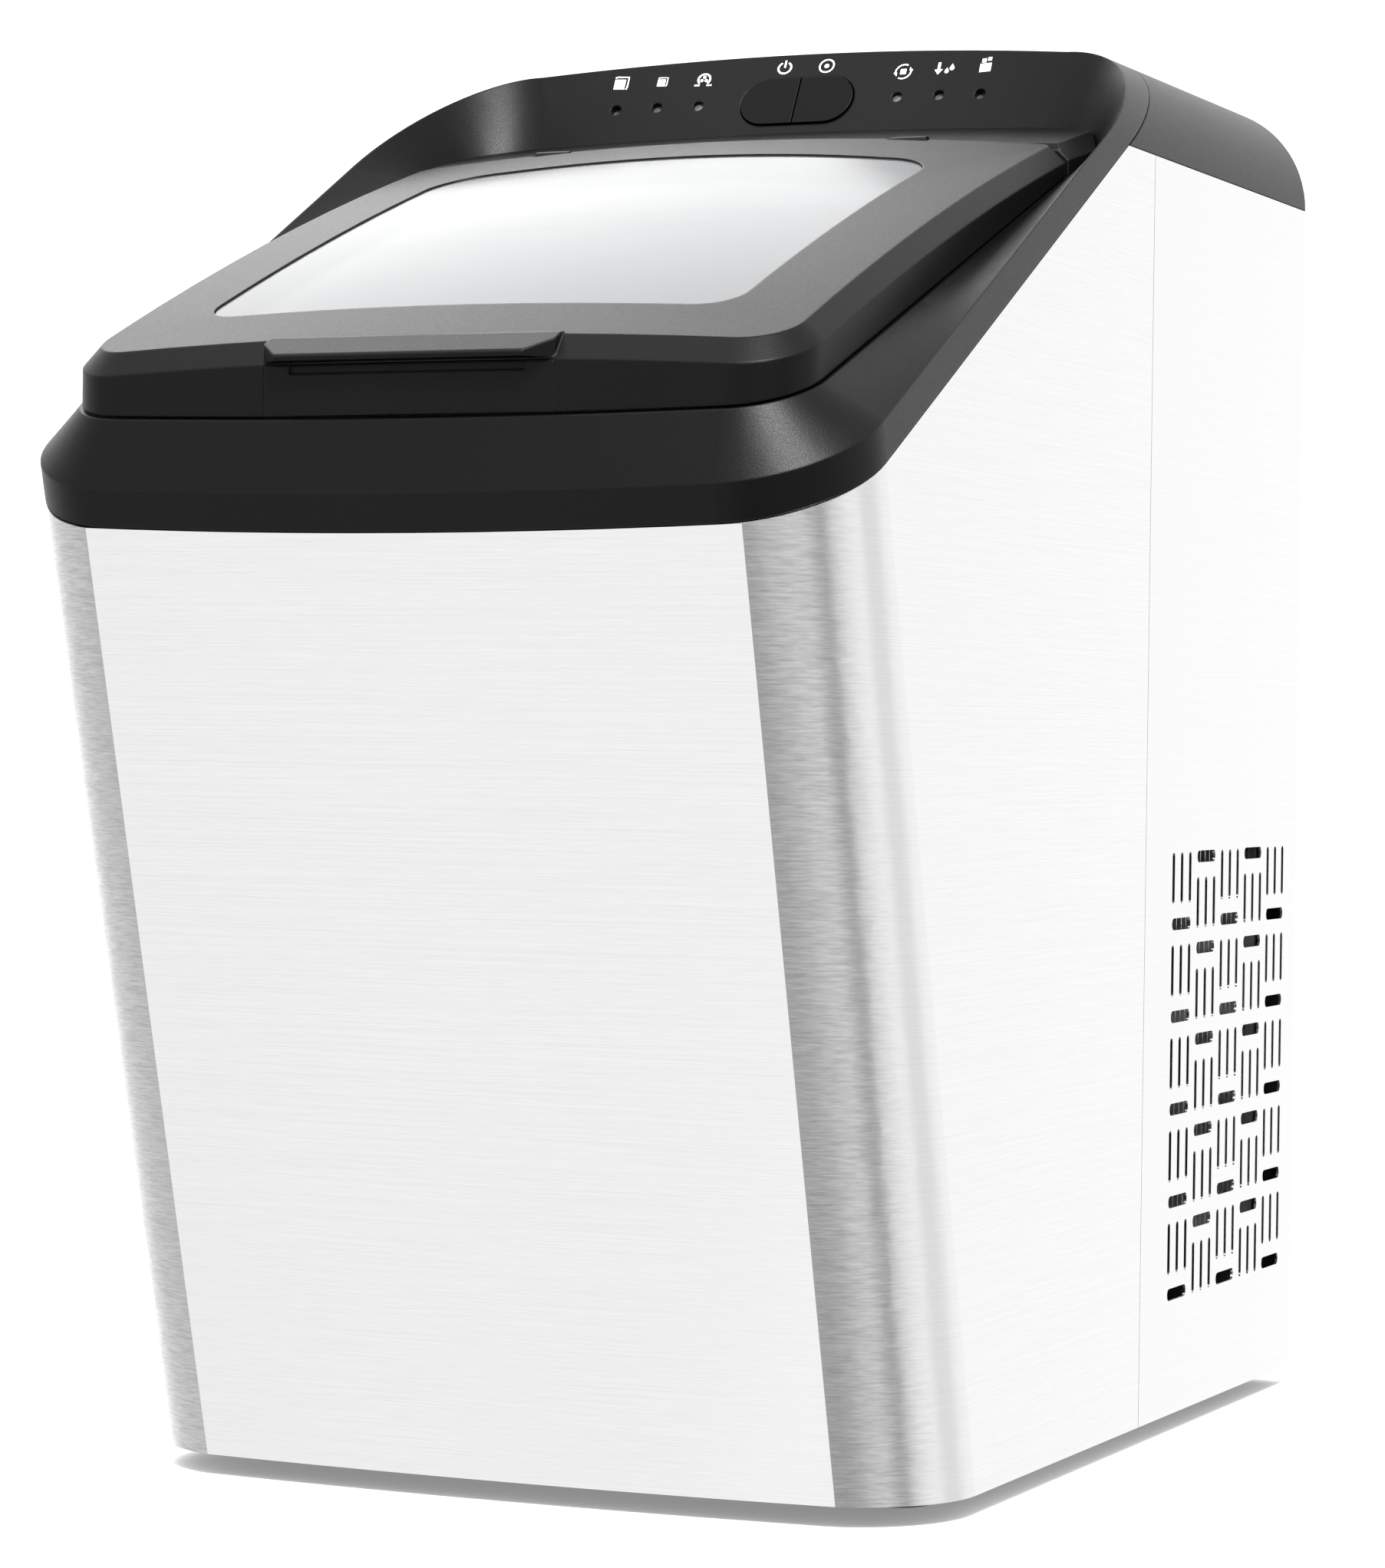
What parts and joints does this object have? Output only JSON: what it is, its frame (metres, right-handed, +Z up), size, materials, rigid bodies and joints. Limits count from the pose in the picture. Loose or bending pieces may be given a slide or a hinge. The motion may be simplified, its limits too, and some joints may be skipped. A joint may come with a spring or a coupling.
{
  "type": "countertop ice maker",
  "caption": "Countertop bullet-ice maker: leaning steel cabinet, black sloping top, windowed hinged lid, control face, tilting water tray, freezing fingers and refrigeration set inside.",
  "frame": {"origin": "centre of the overall box at the underside of the feet", "axes": "+Z up, -Y to the front with the lid, +X to the right of someone facing the back of the machine from the front (the vented side)"},
  "size_m": [0.242, 0.418, 0.419],
  "materials": {
    "front_steel": "vertical-grain brushed steel",
    "housing_steel": "pale brushed steel, folded sheet",
    "bezel_black": "satin black, finely grained",
    "lid_black": "satin black, finely grained",
    "button_black": "satin black",
    "clear_window": "clear moulded window",
    "lens_clear": "milky lens",
    "liner_grey": "moulded grey",
    "tub_white": "white food-grade plastic",
    "basket_clear": "frosted plastic",
    "scoop_blue": "translucent blue plastic",
    "foam_cream": "expanded foam",
    "rubber_black": "soft rubber",
    "hose_grey": "silicone hose",
    "base_black": "moulded black",
    "compressor_black": "black enamel",
    "copper_tube": "bare copper",
    "finger_metal": "nickel plated",
    "fin_aluminium": "thin fins",
    "zinc_steel": "zinc plated",
    "board_green": "circuit board laminate",
    "motor_grey": "painted casing",
    "fan_black": "moulded blades",
    "solenoid_black": "moulded coil"
  },
  "bodies": {
    "cabinet": {"front_wrap_panel": "front_steel", "rear_housing": "housing_steel", "rear_screws": "zinc_steel", "base_pan": "base_black", "rubber_feet": "rubber_black", "rear_top_cap": "bezel_black", "top_bezel": "bezel_black", "hinge_cover": "bezel_black", "hinge_pin": "zinc_steel", "indicator_lenses": "lens_clear", "control_board": "board_green", "inner_tub": "tub_white", "foam_insulation": "foam_cream", "evaporator": "finger_metal", "evaporator_bracket": "tub_white", "tray_gearmotor": "motor_grey", "ice_level_sensors": "base_black", "water_pump": "base_black", "pump_inlet_hose": "hose_grey", "tray_fill_hose": "hose_grey", "drain_hose": "hose_grey", "drain_spout": "base_black", "compressor": "compressor_black", "compressor_grommets": "rubber_black", "condenser": "fin_aluminium", "fan_shroud": "base_black", "fan_motor_bracket": "zinc_steel", "fan_motor": "motor_grey", "filter_drier": "copper_tube", "refrigerant_tubes": "copper_tube", "hot_gas_valve": "solenoid_black", "electronics_tray": "base_black", "power_board": "board_green", "cord_gland": "rubber_black"},
    "lid": {"lid_frame": "lid_black", "lid_grip_panel": "lid_black", "lid_window": "clear_window", "lid_liner": "liner_grey", "lid_seal": "rubber_black"},
    "power_button": {"power_button": "button_black"},
    "select_button": {"select_button": "button_black"},
    "water_tray": {"water_tray": "tub_white"},
    "ice_pusher": {"ice_pusher": "tub_white"},
    "fan_rotor": {"fan_rotor": "fan_black"},
    "ice_basket": {"ice_basket": "basket_clear"},
    "ice_scoop": {"ice_scoop": "scoop_blue"},
    "drain_cap": {"drain_cap": "rubber_black"}
  },
  "joints": [
    {"name": "lid_hinge", "type": "hinge", "parent": "cabinet", "child": "lid", "pos_m": [0, 0.00545, 0.3819], "axis": [-1, 0, 0], "range_deg": [0, 115]},
    {"name": "power_press", "type": "slide", "parent": "cabinet", "child": "power_button", "axis": [0, 0.8755, -0.4832], "range_m": [0, 0.0012], "stiffness_N_per_m": 300, "springref_m": -0.0006},
    {"name": "select_press", "type": "slide", "parent": "cabinet", "child": "select_button", "axis": [0, 0.8755, -0.4832], "range_m": [0, 0.0012], "stiffness_N_per_m": 300, "springref_m": -0.0006},
    {"name": "tray_tilt", "type": "hinge", "parent": "cabinet", "child": "water_tray", "pos_m": [0, -0.05395, 0.296], "axis": [1, 0, 0], "range_deg": [0, 70]},
    {"name": "pusher_slide", "type": "slide", "parent": "cabinet", "child": "ice_pusher", "axis": [0, -1, 0], "range_m": [0, 0.028]},
    {"name": "fan_spin", "type": "hinge", "parent": "cabinet", "child": "fan_rotor", "pos_m": [0.0636, 0.12405, 0.111], "axis": [1, 0, 0], "continuous": true},
    {"name": "basket_lift", "type": "slide", "parent": "cabinet", "child": "ice_basket", "axis": [0, 0, 1], "range_m": [0, 0.018]},
    {"name": "scoop_lift", "type": "slide", "parent": "ice_basket", "child": "ice_scoop", "axis": [0, 0, 1], "range_m": [0, 0.015]},
    {"name": "drain_cap_pull", "type": "slide", "parent": "cabinet", "child": "drain_cap", "axis": [0, 1, 0], "range_m": [0, 0.015]}
  ],
  "couplings": [
    {"joint": "pusher_slide", "follows": "tray_tilt", "m_per_rad": 0.0229}
  ]
}
